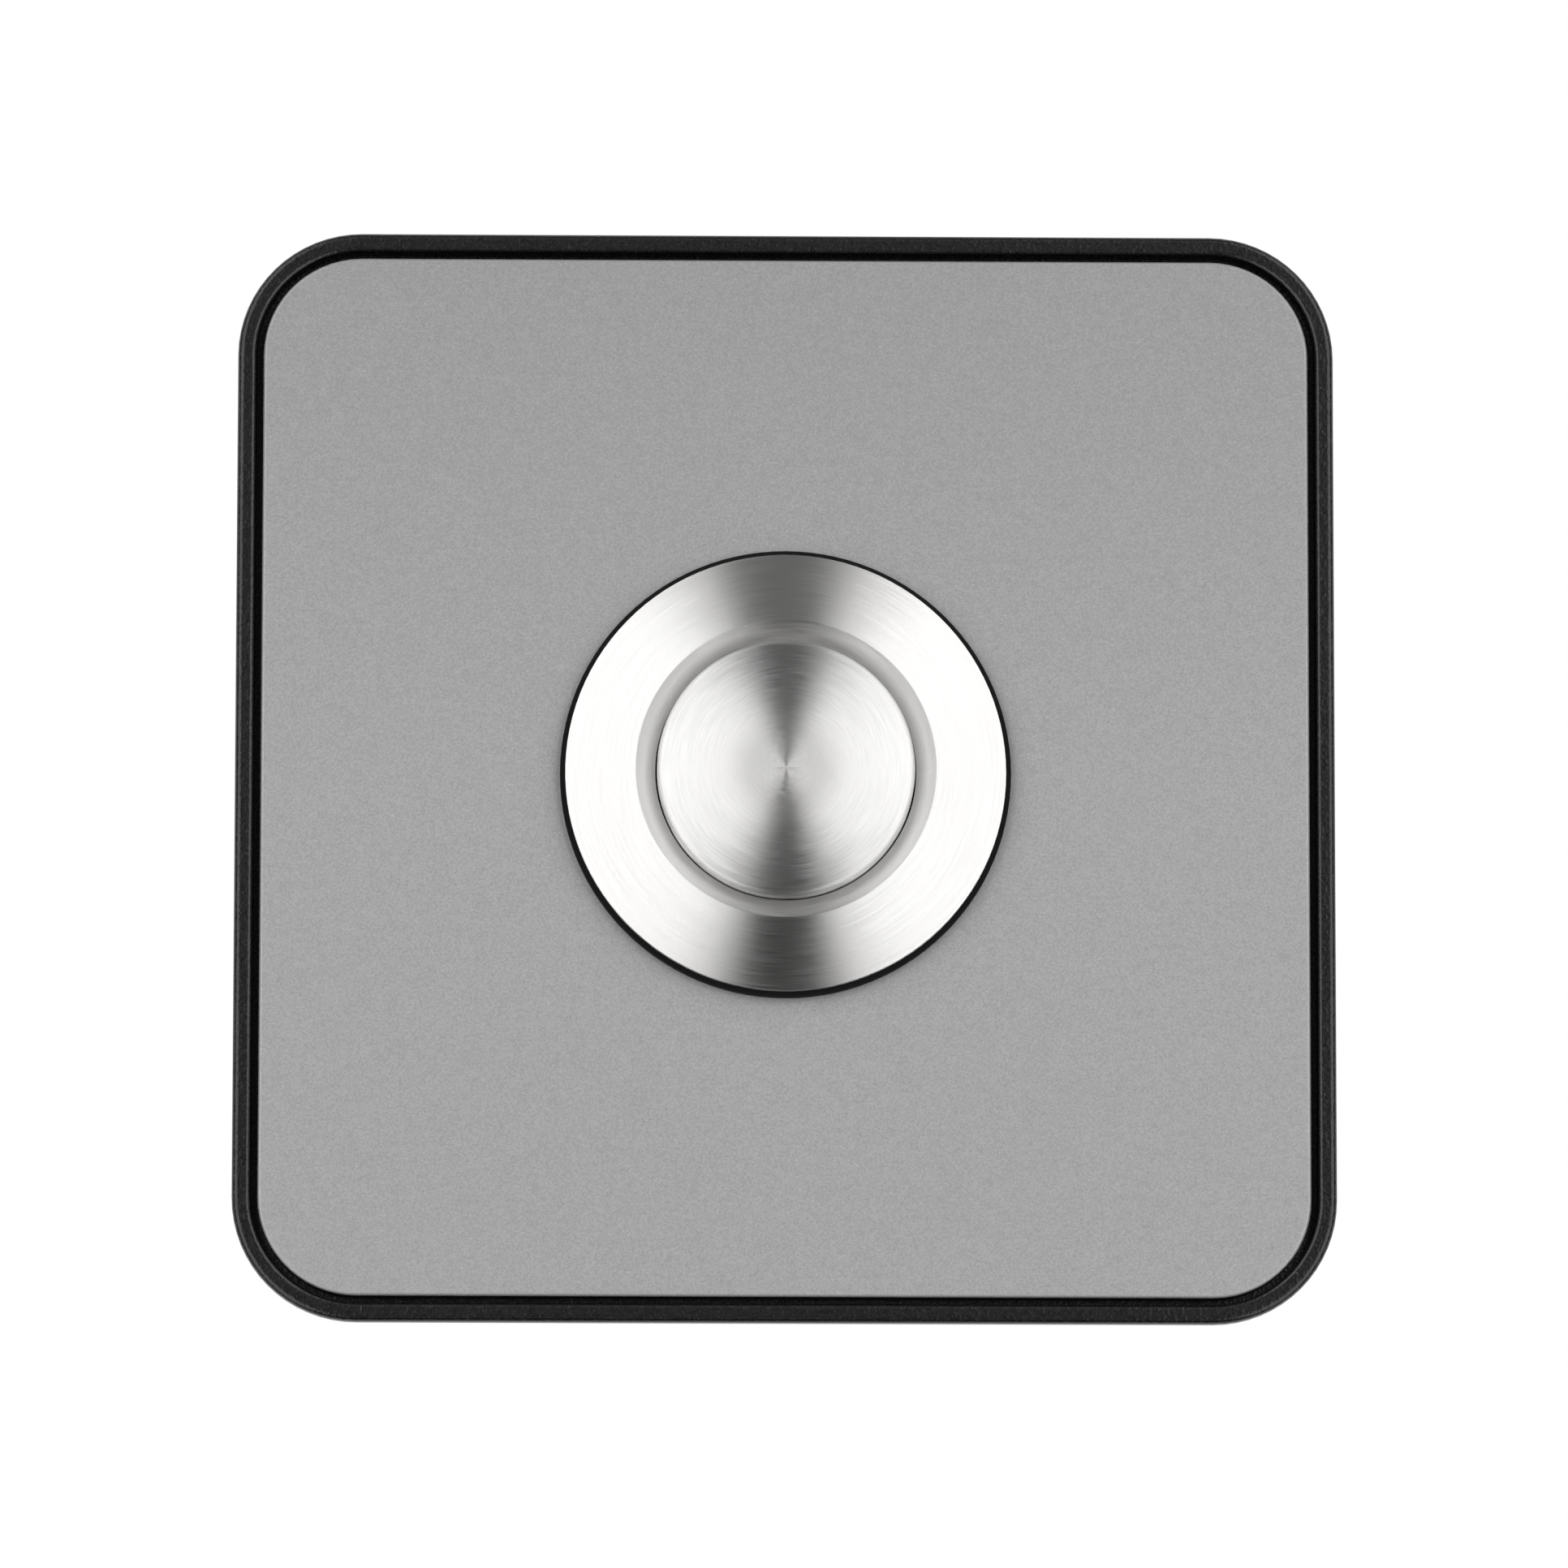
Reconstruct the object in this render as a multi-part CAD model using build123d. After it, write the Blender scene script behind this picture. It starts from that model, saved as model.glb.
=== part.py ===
from build123d import *
import math
import os

# A square bell push for fixing on a wall: a black moulded housing with a metal plate in its front,
# a turned steel push button through both, and a wall plate that the housing hooks onto.
# Every piece is drawn lying on its back, with x to the right, y up and z out from the wall.
# The last lines stand the pieces up, so that the front faces -Y and the wall is at Y = 0.
# All sizes are in millimetres, and angles in degrees.

# Housing
frame_side = 62.0
frame_corner_r = 7.0
sharpest_corner = 0.3
rim_width = 1.05
rim_outer_round = 0.35
rim_inner_round = 0.27
rim_edge_height = 0.8
back_inset = 2.8
housing_wall = 1.65
housing_floor = 2.0
skirt_clearance = 0.3
rib_root = 0.4
gusset_reach = 5.0
gusset_thickness = 1.2
gusset_from_wall = 11.0
drain_width = 4.0
drain_height = 1.0
drain_spacing = 24.0

# Face plate
plate_thickness = 1.5
plate_groove = 0.4
plate_edge_round = 0.18
panel_clearance = 0.15

# Push button, sized from the cap outwards
cap_d = 14.5
cap_clearance = 0.1
cap_proud = 0.4
cap_crown = 0.3
cap_edge_round = 0.25
cap_shoulder_depth = 4.8
collar_width = 1.25
collar_thickness = 1.7
rest_gap = 0.05
travel = 1.2
stop_gap = 0.05
block_seat_width = 0.55
barrel_wall = 1.85
barrel_lip = 0.88
barrel_end_chamfer = 0.5
flange_overhang = 1.4
flange_edge = 0.5
cone_rise = 1.4
mouth_width = 1.1
mouth_depth = 1.05
gasket_thickness = 0.6
gasket_overhang = 0.3
gasket_clearance = 0.1

# O-ring on the cap
seal_section = 1.2
seal_gap = 0.02
seal_depth = 2.6

# Nut and toothed washer behind the housing's floor
thread_clearance = 0.03
nut_flat_width = 2.5
nut_thickness = 2.5
nut_corner_angle = 20.0
nut_face_share = 0.97
washer_thickness = 0.6
washer_width = 2.3
washer_clearance = 0.1
washer_teeth = 20
tooth_depth = 0.9
tooth_gap = 0.9

# Block in the barrel's end, and the ring that holds it
block_clearance = 0.05
block_length = 5.8
block_flange = 2.1
block_web = 2.4
ring_groove_depth = 0.4
ring_thickness = 1.0
ring_width = 1.27
ring_mouth_angle = 40.0
ring_side_gap = 0.02
block_ring_gap = 0.2

# Plunger, spring and contact bridge
stem_d = 2.6
stem_tip = 0.3
guide_clearance = 0.04
spigot_d = 3.0
spigot_length = 2.6
spigot_clearance = 0.02
plunger_flange_thickness = 0.65
plunger_flange_lip = 0.3
well_clearance = 0.2
wire_d = 0.4
spring_clearance = 0.25
spring_turns = 3.5
spring_end_gap = 0.02
bridge_width = 4.0
bridge_thickness = 0.5
bridge_end_gap = 0.6
bridge_hole_clearance = 0.05
bridge_side_room = 0.4

# Fixed contacts and terminals
contact_gap_left = 0.03
strip_thickness = 0.5
strip_width = 3.0
strip_bend_r = 0.4
strip_slot_clearance = 0.05
strip_reach = 2.9
leg_wall = 0.7
leg_to_terminal = 1.9
terminal_overlap = 1.8
terminal_screw_d = 2.5
terminal_tip_cover = 0.9
terminal_hole_clearance = 0.15
terminal_head_d = 4.6
terminal_head_height = 1.7
terminal_edge = 0.2
terminal_room = 1.0
driver_slot_width = 0.7
driver_slot_depth = 0.8
clamp_side = 4.8
clamp_thickness = 0.8
clamp_corner_r = 0.4

# Wall plate
base_clearance = 0.25
base_floor = 2.2
base_rim_height = 1.2
base_rim_width = 1.4
slot_width = 4.2
slot_length = 7.5
slot_from_edge = 7.3
hook_from_edge = 13.0
hook_width = 6.0
hook_thickness = 1.4
hook_nose = 1.0
hook_side_gap = 0.2
hook_gap = 0.15
ledge_over_rim = 0.3
ledge_thickness = 1.2
ledge_reach = 1.4
ledge_side = 0.5

# Cable bush
cable_from_edge = 11.3
cable_d = 5.0
bush_neck_d = 9.0
bush_flange_d = 12.0
bush_flange = 1.1
bush_recess_depth = 1.2
bush_sink = 0.1
bush_clearance = 0.05
bush_recess_clearance = 0.2
bush_round = 0.4

# Securing screw and its nut
screw_d = 3.0
screw_length = 6.0
screw_tip = 0.4
screw_head_d = 5.7
screw_head_height = 1.65
screw_head_round = 1.2
screw_socket = 2.0
screw_socket_depth = 1.0
screw_hole_clearance = 0.2
screw_head_clearance = 0.25
screw_head_recess = 0.35
screw_over_rim = 0.6
boss_wall = 0.9
boss_floor = 1.4
boss_gap = 0.3
lug_width = 9.0
lug_wall = 1.3
lug_floor_gap = 0.9
small_nut_flats = 5.5
small_nut_thickness = 2.4
small_nut_clearance = 0.1

# Heights above the wall, from the wall plate out to the top of the button
base_rim_top = base_floor + base_rim_height
ledge_low = base_rim_top + ledge_over_rim
ledge_high = ledge_low + ledge_thickness
terminal_head_back = base_floor + terminal_room
clamp_back = terminal_head_back + terminal_head_height
terminal_tab = clamp_back + clamp_thickness
block_back = terminal_tab + strip_thickness
block_front = block_back + block_length
block_step = block_front - block_flange
well_floor = block_back + block_web
collar_foot = block_front + stop_gap + travel
collar_top = collar_foot + collar_thickness
cap_shoulder = collar_top + rest_gap
ridge = cap_shoulder + cap_shoulder_depth
cap_top = ridge + cap_proud

# Heights from the ridge back to the housing's floor, and of the contacts
flange_top = ridge - cone_rise
gasket_top = flange_top - flange_edge
crest = gasket_top - gasket_thickness
edge_foot = crest - rim_edge_height
plate_back = crest - plate_thickness
floor_back = plate_back - housing_floor
ring_groove_foot = block_step - ring_thickness - ring_side_gap
barrel_end = ring_groove_foot - barrel_lip
plunger_flange_foot = collar_foot - plunger_flange_thickness
bridge_back = plunger_flange_foot - bridge_thickness
contact_top = bridge_back - travel - contact_gap_left
trough_floor = contact_top - strip_thickness

# Radii of the button, from the cap outwards
cap_r = cap_d / 2
bore_r = cap_r + cap_clearance
ridge_r = bore_r + mouth_width
collar_r = cap_r + collar_width
collar_bore_r = collar_r + cap_clearance
block_bore_r = collar_bore_r + block_seat_width
ring_groove_r = block_bore_r + ring_groove_depth
ring_r = ring_groove_r - ring_side_gap
ring_inner_r = ring_r - ring_width
block_back_r = ring_inner_r - block_ring_gap
barrel_r = block_bore_r + barrel_wall
flange_r = barrel_r + flange_overhang
panel_hole_r = barrel_r + panel_clearance
stem_r = stem_d / 2
spring_r = stem_r + spring_clearance + wire_d / 2
plunger_flange_r = spring_r + wire_d / 2 + plunger_flange_lip
well_r = plunger_flange_r + well_clearance

# Places of the contacts and terminals to each side of the plunger
leg_outside = block_back_r - leg_wall
leg_inside = leg_outside - strip_thickness
terminal_x = leg_inside - leg_to_terminal
bridge_half = leg_inside - bridge_end_gap

# Outlines that follow the housing's leaning walls
frame_half = frame_side / 2
lean = back_inset / (edge_foot - skirt_clearance)
lean_angle = math.degrees(math.atan(lean))


def skirt_half(height):
    """Half the housing's outside width at a height on its leaning walls."""
    return frame_half - (edge_foot - height) * lean


def cavity_half(height):
    """Half the housing's inside width at a height on its leaning walls."""
    return skirt_half(height) - housing_wall


base_half = cavity_half(skirt_clearance) - base_clearance
slot_x = base_half - slot_from_edge
hook_x = base_half - hook_from_edge
cable_y = base_half - cable_from_edge
ledge_edge = cavity_half(ledge_low) - ledge_reach

# Securing screw through the housing's lower wall, and the wall plate's lug above it
small_nut_r = small_nut_flats / math.sqrt(3)
head_bore_r = screw_head_d / 2 + screw_head_clearance
boss_r = head_bore_r + boss_wall
screw_out = base_rim_top + screw_over_rim + boss_r
screw_seat = skirt_half(screw_out) - screw_head_height - screw_head_recess
boss_end = screw_seat - boss_floor
lug_face = boss_end - boss_gap
lug_depth = 2 * lug_wall + small_nut_thickness + 2 * small_nut_clearance
lug_middle = lug_face - lug_depth / 2


def rounded_square(half):
    """Square outline whose corners share their centres with the frame's own corners."""
    corner_r = frame_corner_r - (frame_half - half)
    return RectangleRounded(2 * half, 2 * half, max(corner_r, sharpest_corner))


def slab(outline, low, high):
    """Prism of a flat outline between two heights."""
    return extrude(Plane.XY.offset(low) * outline, amount=high - low)


def leaning_slab(half, low, high):
    """Square block whose sides lean in towards the wall, as wide as given at its upper height."""
    top = Plane.XY.offset(high) * rounded_square(half)
    return extrude(top, amount=high - low, dir=(0, 0, -1), taper=lean_angle)


def disc(radius, low, high):
    """Round prism about the button's axis."""
    return slab(Circle(radius), low, high)


def turned(*corners):
    """Solid turned about the button's axis from the (radius, height) corners of its profile."""
    return revolve(make_face(Plane.XZ * Polyline(*corners, close=True)), axis=Axis.Z)


def upward(distance, height):
    """Place below the button, at a distance down from its axis, for what points up the wall."""
    return Pos(0, -distance, height) * Rot(-90, 0, 0)


def hexagon_nut(flats, thickness, bore_r):
    """Nut standing on the ground plane, with the corners of both faces turned off."""
    corner_r = flats / math.sqrt(3)
    face_r = nut_face_share * flats / 2
    drop = (corner_r - face_r) * math.tan(math.radians(nut_corner_angle))
    blank = extrude(RegularPolygon(corner_r, 6), amount=thickness)
    envelope = turned(
        (0, 0),
        (face_r, 0),
        (corner_r, drop),
        (corner_r, thickness - drop),
        (face_r, thickness),
        (0, thickness),
    )
    return (blank & envelope) - disc(bore_r, 0, thickness)


def front_housing():
    """Moulded box, open at the back: rim, leaning walls, floor, ribs, hook ledges and screw boss."""
    block = slab(rounded_square(frame_half), edge_foot, crest)
    block += leaning_slab(frame_half, skirt_clearance, edge_foot)
    box = block - slab(rounded_square(frame_half - rim_width), plate_back, crest)
    crest_face = box.faces().sort_by(Axis.Z)[-1]
    box = fillet(crest_face.outer_wire().edges(), rim_outer_round)
    crest_face = box.faces().sort_by(Axis.Z)[-1]
    box = fillet(crest_face.inner_wires()[0].edges(), rim_inner_round)
    wall_in = cavity_half(floor_back)
    box -= leaning_slab(wall_in, 0, floor_back)
    box -= disc(panel_hole_r, floor_back, plate_back)

    # Ribs from the floor to the walls, two on each side
    rib_profile = Plane.XZ * Polyline(
        (wall_in + rib_root, floor_back + rib_root),
        (wall_in - gusset_reach, floor_back + rib_root),
        (wall_in + rib_root, floor_back - gusset_reach),
        close=True,
    )
    rib = extrude(make_face(rib_profile), amount=gusset_thickness / 2, both=True)
    gusset_place = wall_in - gusset_from_wall
    for side in range(4):
        for place in (-gusset_place, gusset_place):
            box += Rot(0, 0, 90 * side) * Pos(0, place, 0) * rib

    # Ledges on the upper wall, which the wall plate's hooks hold
    ledge_width = hook_width + 2 * ledge_side
    ledge_depth = ledge_reach + rib_root
    for place in (-hook_x, hook_x):
        ledge = Rectangle(ledge_width, ledge_depth, align=(Align.CENTER, Align.MIN))
        box += slab(Pos(place, ledge_edge) * ledge, ledge_low, ledge_high)

    # Boss in the lower wall, bored for the securing screw and its sunk head
    reach = frame_half - boss_end
    seat = upward(screw_seat, screw_out)
    hole_r = screw_d / 2 + screw_hole_clearance
    downwards = (Align.CENTER, Align.CENTER, Align.MAX)
    box += upward(boss_end, screw_out) * Cylinder(boss_r, reach, align=downwards) & block
    box -= seat * Cylinder(head_bore_r, reach, align=downwards)
    box -= seat * Cylinder(hole_r, 2 * (boss_floor + boss_gap))

    # Drain notches in the lower edge
    for place in (-drain_spacing / 2, drain_spacing / 2):
        notch = Pos(place, -frame_half) * Rectangle(drain_width, 2 * (back_inset + 2 * housing_wall))
        box -= slab(notch, 0, skirt_clearance + drain_height)
    return box


def face_plate():
    """Flat plate that fills the frame, with its front edge rounded and a hole for the barrel."""
    plate = slab(rounded_square(frame_half - rim_width - plate_groove), plate_back, crest)
    front = plate.faces().sort_by(Axis.Z)[-1]
    plate = fillet(front.outer_wire().edges(), plate_edge_round)
    return plate - disc(panel_hole_r, plate_back, crest)


def flange_gasket():
    """Flat rubber ring between the flange and the plate."""
    outline = Circle(flange_r + gasket_overhang) - Circle(barrel_r + gasket_clearance)
    return slab(outline, crest, gasket_top)


def button_body():
    """Flange and barrel turned in one: outside cone, mouth, cap bore, collar room and block bore."""
    groove_top = block_step + ring_side_gap
    return turned(
        (barrel_r, gasket_top),
        (flange_r, gasket_top),
        (flange_r, flange_top),
        (ridge_r, ridge),
        (bore_r, ridge - mouth_depth),
        (bore_r, cap_shoulder),
        (collar_bore_r, cap_shoulder),
        (collar_bore_r, block_front),
        (block_bore_r, block_front),
        (block_bore_r, groove_top),
        (ring_groove_r, groove_top),
        (ring_groove_r, ring_groove_foot),
        (block_bore_r, ring_groove_foot),
        (block_bore_r, barrel_end),
        (barrel_r - barrel_end_chamfer, barrel_end),
        (barrel_r, barrel_end + barrel_end_chamfer),
    )


def button_cap():
    """Turned cap with a crowned face, a groove for the O-ring and a collar that keeps it in."""
    groove_low = ridge - seal_depth - seal_section / 2
    crown_r = (cap_r**2 + cap_crown**2) / (2 * cap_crown)
    crown = Pos(0, 0, cap_top - crown_r) * Sphere(crown_r)
    cap = (disc(cap_r, collar_foot, cap_top) & crown) + disc(collar_r, collar_foot, collar_top)
    face = cap.faces().sort_by(Axis.Z)[-1]
    cap = fillet(face.edges(), cap_edge_round)
    groove = Circle(cap_r) - Circle(bore_r - seal_section)
    cap -= slab(groove, groove_low, groove_low + seal_section)
    return cap - disc(spigot_d / 2, collar_foot, collar_foot + spigot_length)


def cap_seal():
    """O-ring in the cap's groove."""
    section_r = seal_section / 2 - seal_gap
    return Pos(0, 0, ridge - seal_depth) * Torus(bore_r - seal_section / 2, section_r)


def plunger():
    """Insulating pin: spigot in the cap, flange under it and a stem that runs in the block."""
    stem_end = block_back + stop_gap + travel
    spigot_r = spigot_d / 2 - spigot_clearance
    spigot_end = collar_foot + spigot_length - spigot_clearance
    return turned(
        (0, stem_end),
        (stem_r - stem_tip, stem_end),
        (stem_r, stem_end + stem_tip),
        (stem_r, plunger_flange_foot),
        (plunger_flange_r, plunger_flange_foot),
        (plunger_flange_r, collar_foot),
        (spigot_r, collar_foot),
        (spigot_r, spigot_end),
        (0, spigot_end),
    )


def contact_bridge():
    """Round-ended brass strip on the stem, held against the plunger's flange by the spring."""
    strip = SlotOverall(2 * bridge_half, bridge_width)
    return slab(strip - Circle(stem_r + bridge_hole_clearance), bridge_back, plunger_flange_foot)


def return_spring():
    """Round wire wound about the stem, between the block's well and the bridge."""
    low = well_floor + spring_end_gap + wire_d / 2
    high = bridge_back - spring_end_gap - wire_d / 2
    path = Pos(0, 0, low) * Helix((high - low) / spring_turns, high - low, spring_r)
    start = Plane(path @ 0, z_dir=path % 0)
    return sweep(start * Circle(wire_d / 2), path=path)


def contact_block():
    """Moulded block in the barrel's end: trough for the bridge, spring well and terminal holes."""
    block = disc(block_bore_r - block_clearance, block_step, block_front)
    block += disc(block_back_r, block_back, block_front)
    trough = Rectangle(2 * (leg_outside + bridge_side_room), bridge_width + 2 * bridge_side_room)
    block -= slab(trough, trough_floor, block_front)
    block -= disc(well_r, well_floor, block_front)
    block -= disc(stem_r + guide_clearance, block_back, block_front)
    leg_slot = Rectangle(
        strip_thickness + 2 * strip_slot_clearance,
        strip_width + 2 * strip_slot_clearance,
    )
    screw_hole = Circle(terminal_screw_d / 2 + thread_clearance)
    for side in (-1, 1):
        leg_middle = side * (leg_outside - strip_thickness / 2)
        block -= slab(Pos(leg_middle, 0) * leg_slot, block_back, block_front)
        hole_end = trough_floor - terminal_tip_cover + thread_clearance
        block -= slab(Pos(side * terminal_x, 0) * screw_hole, block_back, hole_end)
    return block


def retaining_ring():
    """Open spring ring in the barrel's inner groove, under the block's step."""
    ring = Circle(ring_r) - Circle(ring_inner_r)
    mouth_half = ring_r * math.tan(math.radians(ring_mouth_angle / 2))
    mouth = make_face(Polyline((0, 0), (-mouth_half, -ring_r), (mouth_half, -ring_r), close=True))
    return slab(ring - mouth, block_step - ring_thickness, block_step)


def fixed_contact(side):
    """Brass strip folded three ways: contact tab, leg through the block and terminal tab."""
    contact_end = leg_inside - strip_reach
    terminal_end = terminal_x - terminal_overlap
    outline = Polyline(
        (contact_end, contact_top),
        (leg_outside, contact_top),
        (leg_outside, terminal_tab),
        (terminal_end, terminal_tab),
        (terminal_end, block_back),
        (leg_inside, block_back),
        (leg_inside, trough_floor),
        (contact_end, trough_floor),
        close=True,
    )
    strip = extrude(make_face(Plane.XZ * outline), amount=strip_width / 2, both=True)
    bends = strip.edges().filter_by(Axis.Y).group_by(Axis.X)[-1]
    strip = fillet(bends, strip_bend_r)
    hole = Circle(terminal_screw_d / 2 + terminal_hole_clearance)
    strip -= slab(Pos(terminal_x, 0) * hole, terminal_tab, block_back)
    return strip if side > 0 else mirror(strip, about=Plane.YZ)


def terminal_screws():
    """Two slotted screws, driven from the wall's side into the block."""
    shank_r = terminal_screw_d / 2
    head_r = terminal_head_d / 2
    tip = trough_floor - terminal_tip_cover
    screw = turned(
        (0, terminal_head_back),
        (head_r - terminal_edge, terminal_head_back),
        (head_r, terminal_head_back + terminal_edge),
        (head_r, clamp_back),
        (shank_r, clamp_back),
        (shank_r, tip - terminal_edge),
        (shank_r - terminal_edge, tip),
        (0, tip),
    )
    driver_slot = Rectangle(terminal_head_d, driver_slot_width)
    screw -= slab(driver_slot, terminal_head_back, terminal_head_back + driver_slot_depth)
    return Pos(-terminal_x, 0, 0) * screw + Pos(terminal_x, 0, 0) * screw


def terminal_clamps():
    """Two square clamping washers under the terminal screws' heads."""
    hole = Circle(terminal_screw_d / 2 + terminal_hole_clearance)
    outline = RectangleRounded(clamp_side, clamp_side, clamp_corner_r)
    clamp = slab(outline - hole, clamp_back, terminal_tab)
    return Pos(-terminal_x, 0, 0) * clamp + Pos(terminal_x, 0, 0) * clamp


def lock_washer():
    """Toothed washer between the nut and the housing's floor."""
    inner_r = barrel_r + washer_clearance
    outer_r = inner_r + washer_width
    outline = Circle(outer_r) - Circle(inner_r)
    outline -= PolarLocations(outer_r, washer_teeth) * Rectangle(2 * tooth_depth, tooth_gap)
    return slab(outline, floor_back - washer_thickness, floor_back)


def lock_nut():
    """Flat hexagon nut on the barrel."""
    flats = 2 * (barrel_r + nut_flat_width)
    nut = hexagon_nut(flats, nut_thickness, barrel_r + thread_clearance)
    return Pos(0, 0, floor_back - washer_thickness - nut_thickness) * nut


def wall_plate():
    """Moulded plate on the wall: rim, screw slots, cable hole, two hooks above and a lug below."""
    plate = slab(rounded_square(base_half), 0, base_rim_top)
    plate -= slab(rounded_square(base_half - base_rim_width), base_floor, base_rim_top)

    # Hooks that reach over the housing's ledges
    arm_outside = ledge_edge - hook_side_gap
    arm_inside = arm_outside - hook_thickness
    nose_end = ledge_edge + hook_nose
    nose_low = ledge_high + hook_gap
    nose_high = nose_low + hook_thickness
    hook_profile = Plane.YZ * Polyline(
        (arm_inside, bush_recess_depth),
        (arm_outside, bush_recess_depth),
        (arm_outside, nose_low),
        (nose_end, nose_low),
        (nose_end, nose_low + hook_thickness / 2),
        (arm_outside, nose_high),
        (arm_inside, nose_high),
        close=True,
    )
    hook = extrude(make_face(hook_profile), amount=hook_width / 2, both=True)
    plate += Pos(-hook_x, 0, 0) * hook + Pos(hook_x, 0, 0) * hook

    # Lug with a pocket, open to the front, that keeps the securing screw's nut from turning
    lug_high = floor_back - lug_floor_gap
    plate += slab(Pos(0, -lug_middle) * Rectangle(lug_width, lug_depth), 0, lug_high)
    pocket = Rectangle(
        small_nut_flats + 2 * small_nut_clearance,
        small_nut_thickness + 2 * small_nut_clearance,
    )
    pocket_low = screw_out - small_nut_r - small_nut_clearance
    plate -= slab(Pos(0, -lug_middle) * pocket, pocket_low, lug_high)
    screw_hole = Cylinder(screw_d / 2 + screw_hole_clearance, 2 * lug_depth)
    plate -= upward(lug_middle, screw_out) * screw_hole

    # Slots for the wall screws, and the stepped hole for the cable bush
    for place in (-slot_x, slot_x):
        plate -= slab(Pos(place, 0) * SlotOverall(slot_length, slot_width), 0, base_floor)
    cable = Pos(0, cable_y)
    plate -= slab(cable * Circle(bush_neck_d / 2), 0, base_floor)
    recess = cable * Circle(bush_flange_d / 2 + bush_recess_clearance)
    return plate - slab(recess, 0, bush_recess_depth)


def cable_grommet():
    """Rubber bush buttoned into the wall plate, with the flange at the wall sunk in its recess."""
    flange_edge_r = bush_flange_d / 2
    neck_r = bush_neck_d / 2 - bush_clearance
    cable_r = cable_d / 2
    top = base_floor + bush_flange
    bush = turned(
        (cable_r, bush_sink),
        (flange_edge_r, bush_sink),
        (flange_edge_r, bush_recess_depth),
        (neck_r, bush_recess_depth),
        (neck_r, base_floor),
        (flange_edge_r, base_floor),
        (flange_edge_r, top - bush_round),
        (flange_edge_r - bush_round, top),
        (cable_r, top),
    )
    return Pos(0, cable_y, 0) * bush


def securing_screw():
    """Domed screw with a hexagon socket, driven up from underneath."""
    shank_r = screw_d / 2
    head = disc(screw_head_d / 2, -screw_head_height, 0)
    crown = head.faces().sort_by(Axis.Z)[0]
    head = fillet(crown.edges(), screw_head_round)
    socket = RegularPolygon(screw_socket / math.sqrt(3), 6)
    head -= slab(socket, -screw_head_height, screw_socket_depth - screw_head_height)
    shank = turned(
        (0, 0),
        (shank_r, 0),
        (shank_r, screw_length - screw_tip),
        (shank_r - screw_tip, screw_length),
        (0, screw_length),
    )
    return upward(screw_seat, screw_out) * (head + shank)


def securing_nut():
    """Small hexagon nut in the lug's pocket, with two flats against its sides."""
    nut = hexagon_nut(small_nut_flats, small_nut_thickness, screw_d / 2 + thread_clearance)
    centred = Pos(0, 0, -small_nut_thickness / 2) * Rot(0, 0, 90) * nut
    return upward(lug_middle, screw_out) * centred


pieces = {
    "front_housing": front_housing(),
    "face_plate": face_plate(),
    "flange_gasket": flange_gasket(),
    "button_body": button_body(),
    "lock_washer": lock_washer(),
    "lock_nut": lock_nut(),
    "contact_block": contact_block(),
    "retaining_ring": retaining_ring(),
    "fixed_contact_left": fixed_contact(-1),
    "fixed_contact_right": fixed_contact(1),
    "terminal_screws": terminal_screws(),
    "terminal_clamps": terminal_clamps(),
    "wall_plate": wall_plate(),
    "cable_grommet": cable_grommet(),
    "securing_screw": securing_screw(),
    "securing_nut": securing_nut(),
    "button_cap": button_cap(),
    "cap_seal": cap_seal(),
    "plunger": plunger(),
    "contact_bridge": contact_bridge(),
    "return_spring": return_spring(),
}

os.makedirs("parts", exist_ok=True)
stand_up = Plane.XZ.location
for node, piece in pieces.items():
    export_step(stand_up * piece, f"parts/{node}.step")
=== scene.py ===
import math

import bpy
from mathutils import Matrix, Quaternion, Vector


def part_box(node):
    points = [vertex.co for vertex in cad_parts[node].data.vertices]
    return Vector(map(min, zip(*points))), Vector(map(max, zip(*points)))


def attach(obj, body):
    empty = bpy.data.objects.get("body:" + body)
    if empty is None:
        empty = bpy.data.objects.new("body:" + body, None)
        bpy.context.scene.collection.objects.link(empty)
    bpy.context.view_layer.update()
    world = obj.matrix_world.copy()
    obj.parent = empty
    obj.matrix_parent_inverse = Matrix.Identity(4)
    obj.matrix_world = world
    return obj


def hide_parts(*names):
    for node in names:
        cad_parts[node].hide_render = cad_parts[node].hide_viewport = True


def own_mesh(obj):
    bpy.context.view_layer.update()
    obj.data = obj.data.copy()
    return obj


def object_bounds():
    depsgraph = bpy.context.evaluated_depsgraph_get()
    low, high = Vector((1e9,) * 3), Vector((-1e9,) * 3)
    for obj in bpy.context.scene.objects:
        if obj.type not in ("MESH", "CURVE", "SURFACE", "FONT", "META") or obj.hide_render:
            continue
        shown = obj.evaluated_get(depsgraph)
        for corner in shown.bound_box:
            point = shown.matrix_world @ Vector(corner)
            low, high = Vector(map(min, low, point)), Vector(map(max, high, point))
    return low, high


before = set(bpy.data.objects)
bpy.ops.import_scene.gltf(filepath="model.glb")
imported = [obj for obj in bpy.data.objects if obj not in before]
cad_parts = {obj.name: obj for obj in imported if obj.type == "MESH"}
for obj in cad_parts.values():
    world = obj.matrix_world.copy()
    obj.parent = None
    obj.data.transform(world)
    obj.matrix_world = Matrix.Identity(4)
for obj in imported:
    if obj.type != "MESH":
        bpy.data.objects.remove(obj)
cad_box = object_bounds()
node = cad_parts

# Wall plate: the back of the push, moulded in black ABS in a spark-eroded tool, which leaves a grain.
# Two screws through its slots hold it to the wall, and the housing hooks over its upper edge.
mm = 0.001


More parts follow.
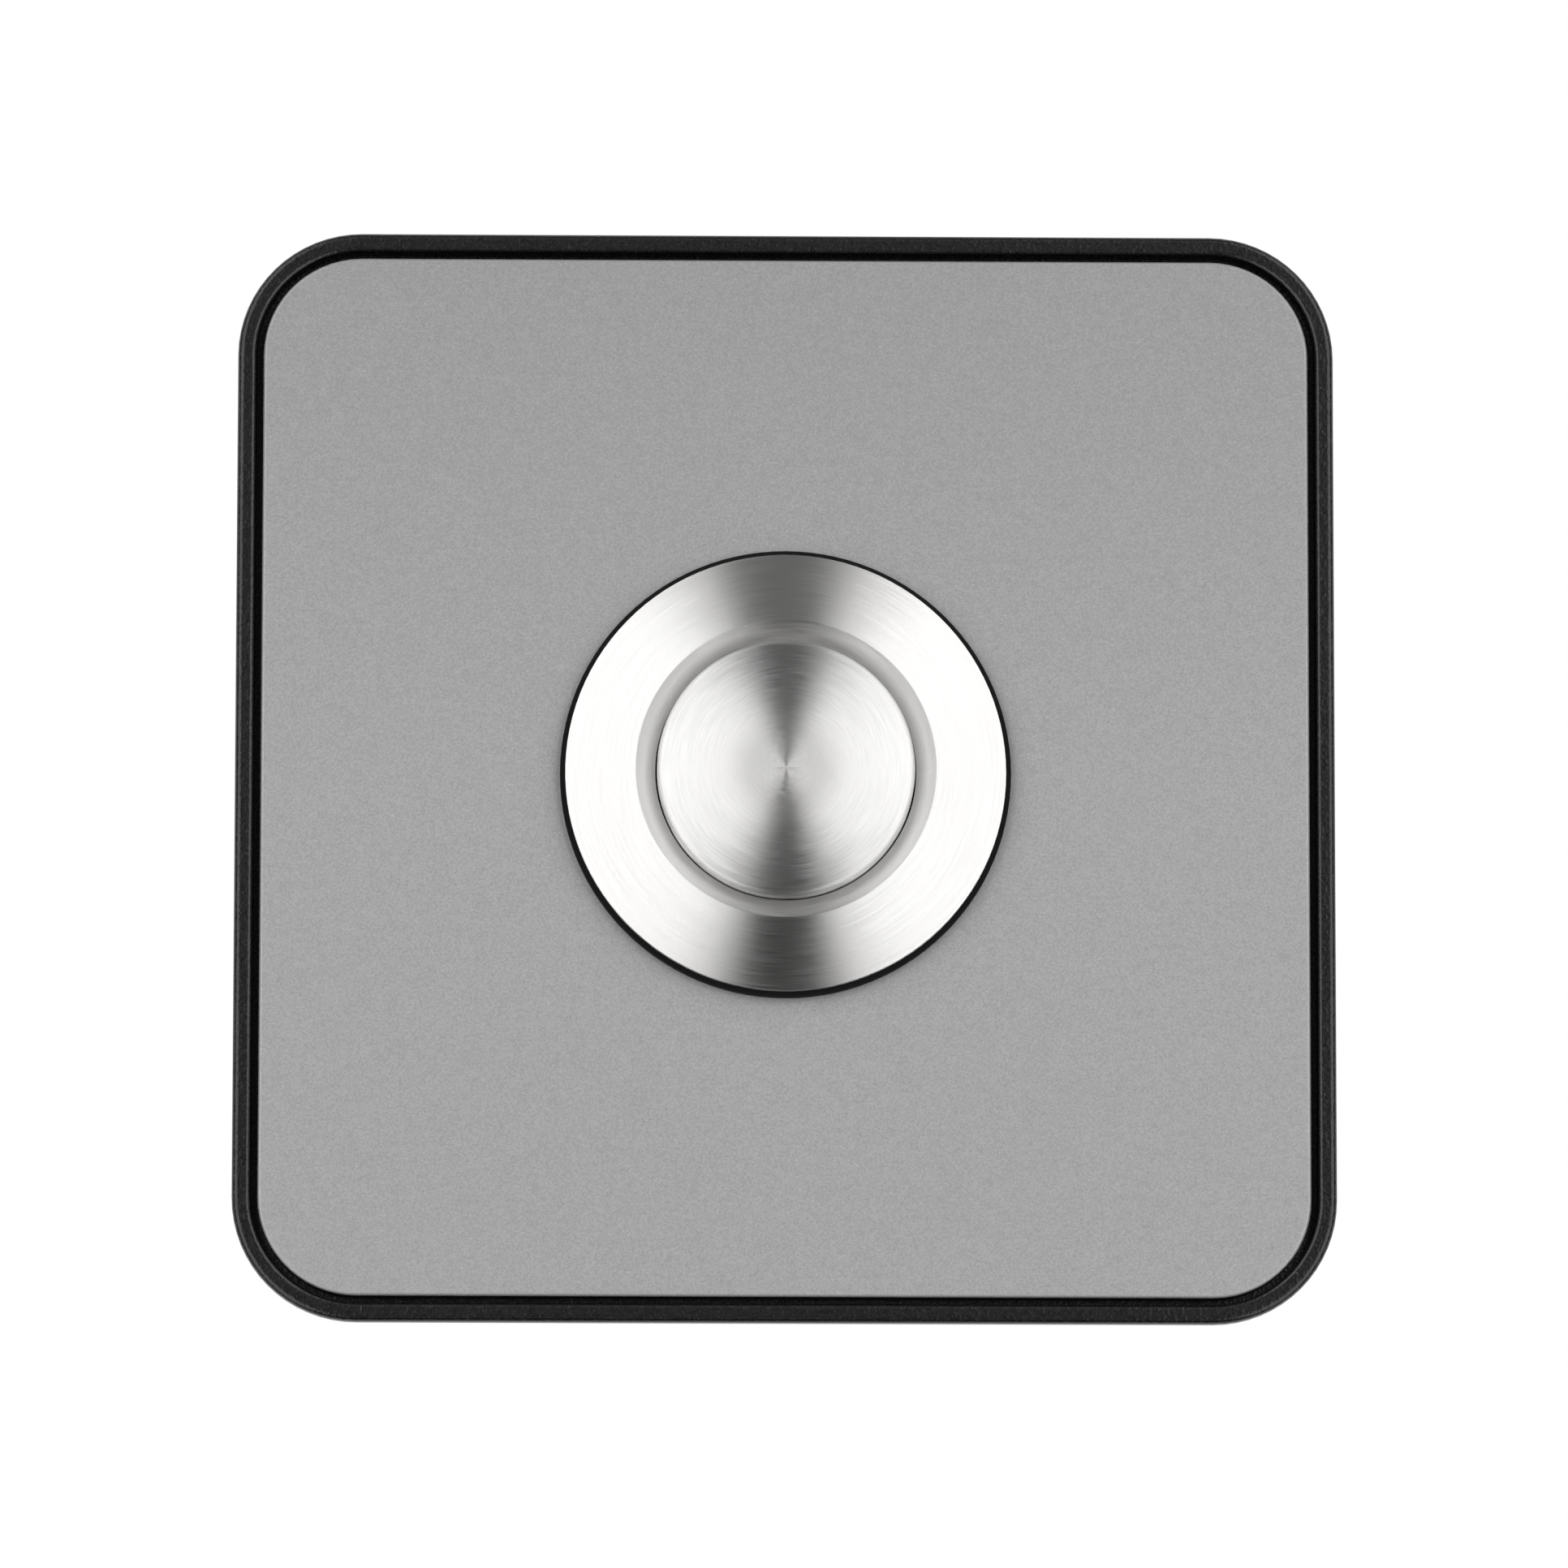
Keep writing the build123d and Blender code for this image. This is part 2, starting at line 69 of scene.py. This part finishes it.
def new_finish(name, colour, metal, roughness):
    """One shader for a surface; what is even all over is set on its own sockets."""
    finish = bpy.data.materials.new(name)
    finish.use_nodes = True
    shader = finish.node_tree.nodes["Principled BSDF"]
    shader.inputs["Base Color"].default_value = (*colour, 1)
    shader.inputs["Metallic"].default_value = metal
    shader.inputs["Roughness"].default_value = roughness
    return finish, shader


def put(finish, kind, sockets, **settings):
    """Adds a node, with its settings, and its sockets filled with values or linked to outputs."""
    tree = finish.node_tree
    made = tree.nodes.new("ShaderNode" + kind)
    for setting, value in settings.items():
        setattr(made, setting, value)
    for socket, value in sockets.items():
        if isinstance(value, bpy.types.NodeSocket):
            tree.links.new(value, made.inputs[socket])
        else:
            made.inputs[socket].default_value = value
    return made


def link(finish, source, shader, socket):
    finish.node_tree.links.new(source, shader.inputs[socket])


def mottle(finish, across, detail):
    """Even noise whose spots are about as wide as given."""
    place = put(finish, "TexCoord", {})
    sockets = {"Vector": place.outputs["Object"], "Scale": 1 / across, "Detail": detail}
    return put(finish, "TexNoise", sockets).outputs["Fac"]


def grey(level):
    """A colour that is equal in red, green and blue."""
    return (level, level, level)


def shade(finish, noise, dark, light):
    """Colour that wanders between two shades with the noise."""
    sockets = {"Factor": noise, "A": (*dark, 1), "B": (*light, 1)}
    return put(finish, "Mix", sockets, data_type="RGBA").outputs[2]


def span(finish, value, low, high, from_low=0, from_high=1):
    """A value carried over from one range to another, and held at its ends."""
    sockets = {"Value": value, "From Min": from_low, "From Max": from_high}
    sockets.update({"To Min": low, "To Max": high})
    return put(finish, "MapRange", sockets).outputs["Result"]


def relief(finish, noise, height, strength):
    """Fine relief of the noise, as high as given."""
    sockets = {"Height": noise, "Distance": height, "Strength": strength}
    return put(finish, "Bump", sockets).outputs["Normal"]


def coat(finish, *names):
    """Puts a finish on CAD nodes as they are."""
    for name in names:
        node[name].data.materials.clear()
        node[name].data.materials.append(finish)


grain_across = 0.2 * mm
grain_height = 0.028 * mm
moulded_black, shader = new_finish("moulded_black", grey(0.0025), 0, 0.3)
shader.inputs["Specular IOR Level"].default_value = 0.58
grain = mottle(moulded_black, grain_across, 2)
grain_shade = shade(moulded_black, grain, grey(0.001), grey(0.004))
link(moulded_black, grain_shade, shader, "Base Color")
link(moulded_black, span(moulded_black, grain, 0.36, 0.2), shader, "Roughness")
link(moulded_black, relief(moulded_black, grain, grain_height, 1.0), shader, "Normal")
coat(moulded_black, "wall_plate")

# Cable bush: soft black rubber, buttoned into the wall plate's cable hole.
# It keeps the hole's edge from chafing the bell wire.
bloom_across = 0.6 * mm
bloom_height = 0.01 * mm
black_rubber, shader = new_finish("black_rubber", grey(0.002), 0, 0.7)
shader.inputs["Specular IOR Level"].default_value = 0.2
bloom = mottle(black_rubber, bloom_across, 4)
bloom_shade = shade(black_rubber, bloom, grey(0.001), grey(0.003))
link(black_rubber, bloom_shade, shader, "Base Color")
link(black_rubber, span(black_rubber, bloom, 0.62, 0.8), shader, "Roughness")
link(black_rubber, relief(black_rubber, bloom, bloom_height, 0.3), shader, "Normal")
coat(black_rubber, "cable_grommet")

# Securing nut: a small zinc-plated steel nut, pushed into a pocket in the wall plate's lug.
# The plating has settled a little unevenly, as it does on small barrel-plated parts.
cloud_across = 0.8 * mm
zinc_plated, shader = new_finish("zinc_plated", grey(0.6), 1, 0.3)
cloud = mottle(zinc_plated, cloud_across, 4)
cloud_shade = shade(zinc_plated, cloud, (0.55, 0.56, 0.57), (0.66, 0.66, 0.65))
link(zinc_plated, cloud_shade, shader, "Base Color")
link(zinc_plated, span(zinc_plated, cloud, 0.24, 0.38), shader, "Roughness")
coat(zinc_plated, "securing_nut")

# Front housing: the box of the push, with the raised rim that frames the plate.
# It comes out of the same kind of grained tool, in the same black ABS, as the wall plate.
coat(moulded_black, "front_housing")

# Face plate: sheet aluminium, blasted to an even satin grey, clear anodised, its edge rounded over.
# It lies in the frame, where the button's flange clamps it. Below the rounding its sheared sides
# are made dark as painted shade of the groove, and its face gets painted shade towards the top.
blast_across = 0.11 * mm
blast_height = 0.004 * mm
drift_across = 0.5 * mm
# Painted shade: the share the face's colour falls to at its top.
painted_top_shade_share = 0.87
# Painted shade: the share the sheared sides' colour falls to, for the shade in the groove.
painted_side_shade_share = 0.1
rounding_depth = 0.14 * mm
side_depth = 0.26 * mm
plate_low, plate_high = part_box("face_plate")


def times(finish, first, second):
    """One colour multiplied by another, or by a share."""
    sockets = {"Factor": 1, "A": first, "B": second}
    return put(finish, "Mix", sockets, data_type="RGBA", blend_type="MULTIPLY").outputs[2]


satin_grey, shader = new_finish("satin_grey", grey(0.43), 0.5, 0.46)
blast = mottle(satin_grey, blast_across, 2)
drift = mottle(satin_grey, drift_across, 2)
blast_shade = shade(satin_grey, blast, grey(0.26), grey(0.5))
drift_shade = shade(satin_grey, drift, grey(0.91), grey(1.02))
place = put(satin_grey, "TexCoord", {}).outputs["Object"]
ways = put(satin_grey, "SeparateXYZ", {"Vector": place}).outputs
# Painted shade: the face's colour darkens towards its top.
painted_top_shade = span(satin_grey, ways["Z"], 1.0, painted_top_shade_share, 0, plate_high.z)
rounded_to = plate_low.y + rounding_depth
sides_from = plate_low.y + side_depth
# Painted shade: below the rounding the sides turn dark, in place of the groove's shade.
painted_groove_shade = span(satin_grey, ways["Y"], 1.0, painted_side_shade_share, rounded_to, sides_from)
drifted = times(satin_grey, blast_shade, drift_shade)
with_painted_top_shade = times(satin_grey, drifted, painted_top_shade)
link(satin_grey, times(satin_grey, with_painted_top_shade, painted_groove_shade), shader, "Base Color")
link(satin_grey, span(satin_grey, blast, 0.43, 0.5), shader, "Roughness")
link(satin_grey, relief(satin_grey, blast, blast_height, 0.4), shader, "Normal")
coat(satin_grey, "face_plate")

# Gasket: flat black rubber ring, stamped from sheet, that seals the button's flange to the plate.
# Its edge stands out past the flange, and shows as a thin line round the metal.
coat(black_rubber, "flange_gasket")

# Button body: stainless steel turned from bar, a flange with a cone-shaped face on a threaded barrel.
# The tool leaves fine rings, some duller than others, which draw the light out into fans.
# The mouth and the cap's rounded edge are left duller, and their darker tone is painted shade.
turned_steel, shader = new_finish("turned_steel", (0.8, 0.795, 0.78), 1, 0.36)
shader.inputs["Anisotropic"].default_value = 0.95
shader.inputs["Anisotropic Rotation"].default_value = 0.25
lathe = put(turned_steel, "Tangent", {}, direction_type="RADIAL", axis="Y")
link(turned_steel, lathe.outputs["Tangent"], shader, "Tangent")
place = put(turned_steel, "TexCoord", {}).outputs["Object"]
off_axis = (1, 0, 1)
sockets = {0: place, 1: off_axis}
across = put(turned_steel, "VectorMath", sockets, operation="MULTIPLY").outputs[0]
radius = put(turned_steel, "VectorMath", {0: across}, operation="LENGTH").outputs["Value"]
flange_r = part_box("button_body")[1].x


def by_radius(finish, steps):
    """Colour that changes from the middle to the flange's edge, in steps of radius and colour."""
    ramp = put(finish, "ValToRGB", {"Fac": span(finish, radius, 0, 1, 0, flange_r)})
    stops = ramp.color_ramp.elements
    while len(stops) < len(steps):
        stops.new(1)
    for stop, (out, colour) in zip(stops, steps):
        stop.position = out * mm / flange_r
        stop.color = (*colour, 1)
    return ramp.outputs["Color"]


# radius in mm, roughness and tone of what the tool left there; the lower tone at the cap's edge and the
# mouth is painted shade
tooling = (
    (0.0, 0.72, 0.82),
    (1.4, 0.68, 0.84),
    (3.6, 0.45, 0.92),
    (6.4, 0.37, 0.96),
    (7.0, 0.37, 0.96),
    (7.08, 0.45, 0.84),
    (7.3, 0.45, 0.84),
    (7.36, 0.54, 0.84),
    (8.4, 0.54, 0.84),
    (8.48, 0.36, 0.86),
    (12.4, 0.36, 0.86),
)
warmth = Vector((1, 0.994, 0.98))
dullness = by_radius(turned_steel, [(out, grey(rough)) for out, rough, tone in tooling])
# The tones carry painted shade: darker round the cap's edge and in the mouth.
tool_tones_and_edge_shade = by_radius(turned_steel, [(out, warmth * tone) for out, rough, tone in tooling])
heading = put(turned_steel, "VectorMath", {0: across}, operation="NORMALIZE").outputs[0]
ring_pitch = 0.075 * mm
ring_arc = 3
ring_height = 0.0014 * mm


def work(finish, operation, first, second):
    """One sum with two numbers."""
    return put(finish, "Math", {0: first, 1: second}, operation=operation).outputs[0]


outwards = work(turned_steel, "DIVIDE", radius, ring_pitch)
ways = put(turned_steel, "SeparateXYZ", {"Vector": heading}).outputs
along = work(turned_steel, "MULTIPLY", ways["X"], ring_arc)
round_to = work(turned_steel, "MULTIPLY", ways["Z"], ring_arc)
sockets = {"X": outwards, "Y": along, "Z": round_to}
on_ring = put(turned_steel, "CombineXYZ", sockets).outputs[0]
sockets = {"Vector": on_ring, "Scale": 1, "Detail": 3}
rings = put(turned_steel, "TexNoise", sockets).outputs["Fac"]
ring_shade = shade(turned_steel, rings, grey(0.76), grey(1.12))
link(turned_steel, times(turned_steel, tool_tones_and_edge_shade, ring_shade), shader, "Base Color")
uneven = span(turned_steel, rings, 0.62, 1.38)
link(turned_steel, work(turned_steel, "MULTIPLY", dullness, uneven), shader, "Roughness")
link(turned_steel, relief(turned_steel, rings, ring_height, 0.5), shader, "Normal")
coat(turned_steel, "button_body")

# Toothed washer and flat nut: zinc-plated steel, screwed on behind the housing's floor.
# Together they clamp flange, gasket, plate and housing.
coat(zinc_plated, "lock_washer", "lock_nut")

# Button cap and its O-ring: the cap is turned from the same bar as the body, its face a little crowned.
# Its collar keeps it in, and it slides in the body's bore on the rubber ring.
coat(turned_steel, "button_cap")
coat(black_rubber, "cap_seal")

# Plunger and contact block: moulded in a cream thermoset that doesn't carry current.
# The plunger is pressed into the cap and runs in the block, which closes the barrel.
flow_across = 1.2 * mm
cream_insulator, shader = new_finish("cream_insulator", (0.62, 0.58, 0.48), 0, 0.4)
flow = mottle(cream_insulator, flow_across, 3)
flow_shade = shade(cream_insulator, flow, (0.58, 0.54, 0.44), (0.66, 0.62, 0.52))
link(cream_insulator, flow_shade, shader, "Base Color")
link(cream_insulator, span(cream_insulator, flow, 0.36, 0.46), shader, "Roughness")
coat(cream_insulator, "plunger", "contact_block")

# Contacts: brass strip, stamped and folded.
# The bridge rides on the plunger, and joins the two fixed ones when the button is pressed.
tarnish_across = 1.0 * mm
strip_brass, shader = new_finish("strip_brass", (0.78, 0.57, 0.22), 1, 0.3)
tarnish = mottle(strip_brass, tarnish_across, 4)
tarnish_shade = shade(strip_brass, tarnish, (0.7, 0.5, 0.19), (0.82, 0.61, 0.26))
link(strip_brass, tarnish_shade, shader, "Base Color")
link(strip_brass, span(strip_brass, tarnish, 0.26, 0.36), shader, "Roughness")
coat(strip_brass, "contact_bridge", "fixed_contact_left", "fixed_contact_right")

# Return spring: round steel wire, wound about the plunger's stem between the block and the bridge.
# It is pressed shorter as the button goes in, and pushes the cap back out.
spring_low, spring_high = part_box("return_spring")
wire_r = 0.2 * mm
coil_r = spring_high.x - wire_r
coil_foot = spring_high.y - wire_r
coil_top = spring_low.y + wire_r
turns = 3.5
steps_a_turn = 40
wire_sides = 12
steps = round(turns * steps_a_turn)
climb = (coil_top - coil_foot) / (2 * math.pi * turns)
points = []
for step in range(steps + 1):
    angle = 2 * math.pi * turns * step / steps
    outward = Vector((math.cos(angle), 0, math.sin(angle)))
    middle = outward * coil_r + Vector((0, coil_foot + climb * angle, 0))
    forward = Vector((-math.sin(angle) * coil_r, climb, math.cos(angle) * coil_r)).normalized()
    third = forward.cross(outward)
    for side in range(wire_sides):
        turn = 2 * math.pi * side / wire_sides
        points.append(middle + (outward * math.cos(turn) + third * math.sin(turn)) * wire_r)
faces = []
for step in range(steps):
    for side in range(wire_sides):
        first = step * wire_sides + side
        second = step * wire_sides + (side + 1) % wire_sides
        faces.append((first, first + wire_sides, second + wire_sides, second))
faces.append(tuple(range(wire_sides)))
faces.append(tuple(steps * wire_sides + side for side in reversed(range(wire_sides))))
spring_mesh = bpy.data.meshes.new("return_spring_coil")
spring_mesh.from_pydata(points, [], faces)
spring_mesh.polygons.foreach_set("use_smooth", [len(face) == 4 for face in faces])
spring_mesh.materials.append(zinc_plated)
spring = bpy.data.objects.new("return_spring_coil", spring_mesh)
bpy.context.scene.collection.objects.link(spring)
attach(spring, "bell_base")
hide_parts("return_spring")
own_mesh(spring)

# Ring, clamps and screws at the back of the barrel: zinc-plated steel.
# The sprung ring holds the block in, and the bell wire is screwed down under the square clamps.
coat(zinc_plated, "retaining_ring", "terminal_clamps", "terminal_screws")

# Securing screw: zinc-plated steel, driven up from underneath into the nut in the wall plate's lug.
# It keeps the housing from being lifted off its hooks.
coat(zinc_plated, "securing_screw")

# Studio: two tall soft lamps left and right of the camera, and a dim fill all round.
# The gap between the lamps is dark, which gives the turned metal its two dark fans.
lamp_level = 2.0  # as bright as it looks, where 1 is white
lamp_aside = 0.632
lamp_forward = 0.839
lamp_up = 0.02
lamp_width = 0.89
lamp_height = 2.8
for name, side in (("lamp_left", -1), ("lamp_right", 1)):
    lamp = bpy.data.lights.new(name, "AREA")
    lamp.shape = "RECTANGLE"
    lamp.size = lamp_width
    lamp.size_y = lamp_height
    lamp.energy = lamp_level * math.pi * lamp_width * lamp_height
    stand = bpy.data.objects.new(name, lamp)
    stand.location = (side * lamp_aside, -lamp_forward, lamp_up)
    stand.rotation_mode = "QUATERNION"
    stand.rotation_quaternion = (-stand.location).to_track_quat("-Z", "Y")
    stand.visible_camera = False
    bpy.context.scene.collection.objects.link(stand)

room_low_level = 0.012
room_high_level = 0.13
room_low = 0.12
room_high = 0.7
fill_level = 0.35
world = bpy.data.worlds.new("studio")
bpy.context.scene.world = world
world.use_nodes = True
world.node_tree.nodes.clear()
ray = put(world, "LightPath", {}).outputs
heading = put(world, "TexCoord", {}).outputs["Generated"]
ways = put(world, "SeparateXYZ", {"Vector": heading}).outputs
room = span(world, ways["Z"], room_low_level, room_high_level, room_low, room_high)
behind = work(world, "GREATER_THAN", ways["Y"], 0.0)
around = work(world, "MAXIMUM", behind, room)
plain = work(world, "MAXIMUM", ray["Is Camera Ray"], ray["Is Transmission Ray"])
level = work(world, "MAXIMUM", around, plain)
seen = work(world, "MAXIMUM", plain, ray["Is Glossy Ray"])
backdrop = put(world, "Background", {"Color": (1, 1, 1, 1), "Strength": level})
fill = put(world, "Background", {"Color": (1, 1, 1, 1), "Strength": fill_level})
mixed = put(world, "MixShader", {0: seen, 1: fill.outputs[0], 2: backdrop.outputs[0]})
put(world, "OutputWorld", {"Surface": mixed.outputs[0]})

# Floor: a plain pale sheet well below the push, which hangs at its height on a wall.
# Straight to the eye it is nearly white, with the shadow left on it.
# From underneath it lets the view through.
floor_height = -0.2
floor_reach = 3.0
floor_whitening = 0.5
corners = ((-1, -1), (1, -1), (1, 1), (-1, 1))
floor_mesh = bpy.data.meshes.new("floor")
floor_points = [(x * floor_reach, y * floor_reach, floor_height) for x, y in corners]
floor_mesh.from_pydata(floor_points, [], [(0, 1, 2, 3)])
floor = bpy.data.objects.new("floor", floor_mesh)
bpy.context.scene.collection.objects.link(floor)
floor.visible_glossy = False
dust_across = 30 * mm
pale_floor, shader = new_finish("pale_floor", grey(0.85), 0, 0.8)
dust = mottle(pale_floor, dust_across, 3)
dust_shade = shade(pale_floor, dust, grey(0.84), grey(0.86))
link(pale_floor, dust_shade, shader, "Base Color")
ray = put(pale_floor, "LightPath", {}).outputs
mirrored = work(pale_floor, "MAXIMUM", ray["Is Glossy Ray"], ray["Is Transmission Ray"])
seen = work(pale_floor, "MAXIMUM", ray["Is Camera Ray"], mirrored)
whitening = span(pale_floor, seen, 0, floor_whitening)
paper_white = put(pale_floor, "Emission", {"Strength": whitening})
whitened = put(pale_floor, "AddShader", {0: shader.outputs[0], 1: paper_white.outputs[0]})
facing = put(pale_floor, "NewGeometry", {})
clear = put(pale_floor, "BsdfTransparent", {})
sockets = {0: facing.outputs["Backfacing"], 1: whitened.outputs[0], 2: clear.outputs[0]}
sheet = put(pale_floor, "MixShader", sockets)
link(pale_floor, sheet.outputs[0], pale_floor.node_tree.nodes["Material Output"], "Surface")
floor_mesh.materials.append(pale_floor)

# Camera: in front, a little below and to the left, looking slightly up.
# A long lens far away keeps the square nearly without perspective.
camera_low = math.radians(8.9)
camera_left = math.radians(1.0)
camera_far = 0.73
camera_roll = math.radians(0.08)
button_face = Vector((0, cad_box[0].y, 0))
off_centre_right = 0.13 * mm
off_centre_up = 0.95 * mm
film_width = 36
lens_length = 298.7
back = Vector(
    (
        -math.sin(camera_left) * math.cos(camera_low),
        -math.cos(camera_left) * math.cos(camera_low),
        -math.sin(camera_low),
    )
)
turn = (-back).to_track_quat("-Z", "Y") @ Quaternion((0, 0, 1), camera_roll)
right = turn @ Vector((1, 0, 0))
up = turn @ Vector((0, 1, 0))
camera_data = bpy.data.cameras.new("camera")
camera_data.sensor_width = film_width
camera_data.lens = lens_length
camera = bpy.data.objects.new("camera", camera_data)
camera.rotation_mode = "QUATERNION"
camera.rotation_quaternion = turn
aim = button_face - right * off_centre_right - up * off_centre_up
camera.location = aim + back * camera_far
bpy.context.scene.collection.objects.link(camera)
bpy.context.scene.camera = camera
bpy.context.scene.view_settings.view_transform = "Standard"
